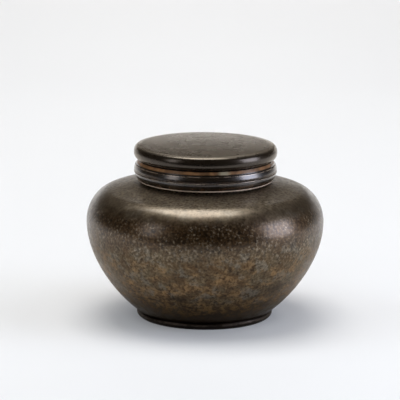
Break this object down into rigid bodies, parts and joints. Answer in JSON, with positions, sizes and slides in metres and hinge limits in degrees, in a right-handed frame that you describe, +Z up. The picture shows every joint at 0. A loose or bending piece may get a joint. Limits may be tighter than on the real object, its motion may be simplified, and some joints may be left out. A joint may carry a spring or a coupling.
{
  "type": "tea caddy",
  "caption": "Squat round pewter tea caddy with a low foot, full belly, moulded collar, flat lift-off lid with a spigot, and a loose inner lid with a knob.",
  "frame": {"origin": "on the caddy's axis, on the surface that the foot ring stands on", "axes": "+Z up along the axis that every piece is turned about; -Y faces the viewer of the picture, +X to the viewer's right"},
  "size_m": [0.1184, 0.1184, 0.0874],
  "materials": {
    "body_patina": "satin olive-brown patina on pewter, with fine pale speckles and ochre patches",
    "collar_patina": "satin dark brown patina on pewter, worn to copper brown at the chamfer and the lip",
    "lid_patina": "satin olive-brown patina on pewter, polished along the top edge",
    "foot_patina": "satin dark brown patina on pewter",
    "base_pewter": "dull grey-brown pewter",
    "inner_pewter": "dull grey pewter, turned and lightly tarnished"
  },
  "bodies": {
    "jar": {"foot_ring": "foot_patina", "base_plate": "base_pewter", "lower_bowl": "body_patina", "upper_shoulder": "body_patina", "neck_tube": "body_patina", "collar_ring": "collar_patina"},
    "inner_lid": {"inner_lid_disc": "inner_pewter", "inner_lid_rim": "inner_pewter", "inner_lid_knob": "inner_pewter"},
    "outer_lid": {"lid_disc": "lid_patina", "lid_spigot": "inner_pewter"}
  },
  "joints": [
    {"name": "inner_lid_lift", "type": "slide", "parent": "jar", "child": "inner_lid", "axis": [0, 0, 1], "range_m": [0, 0.045]},
    {"name": "outer_lid_lift", "type": "slide", "parent": "inner_lid", "child": "outer_lid", "axis": [0, 0, 1], "range_m": [0, 0.06]}
  ]
}
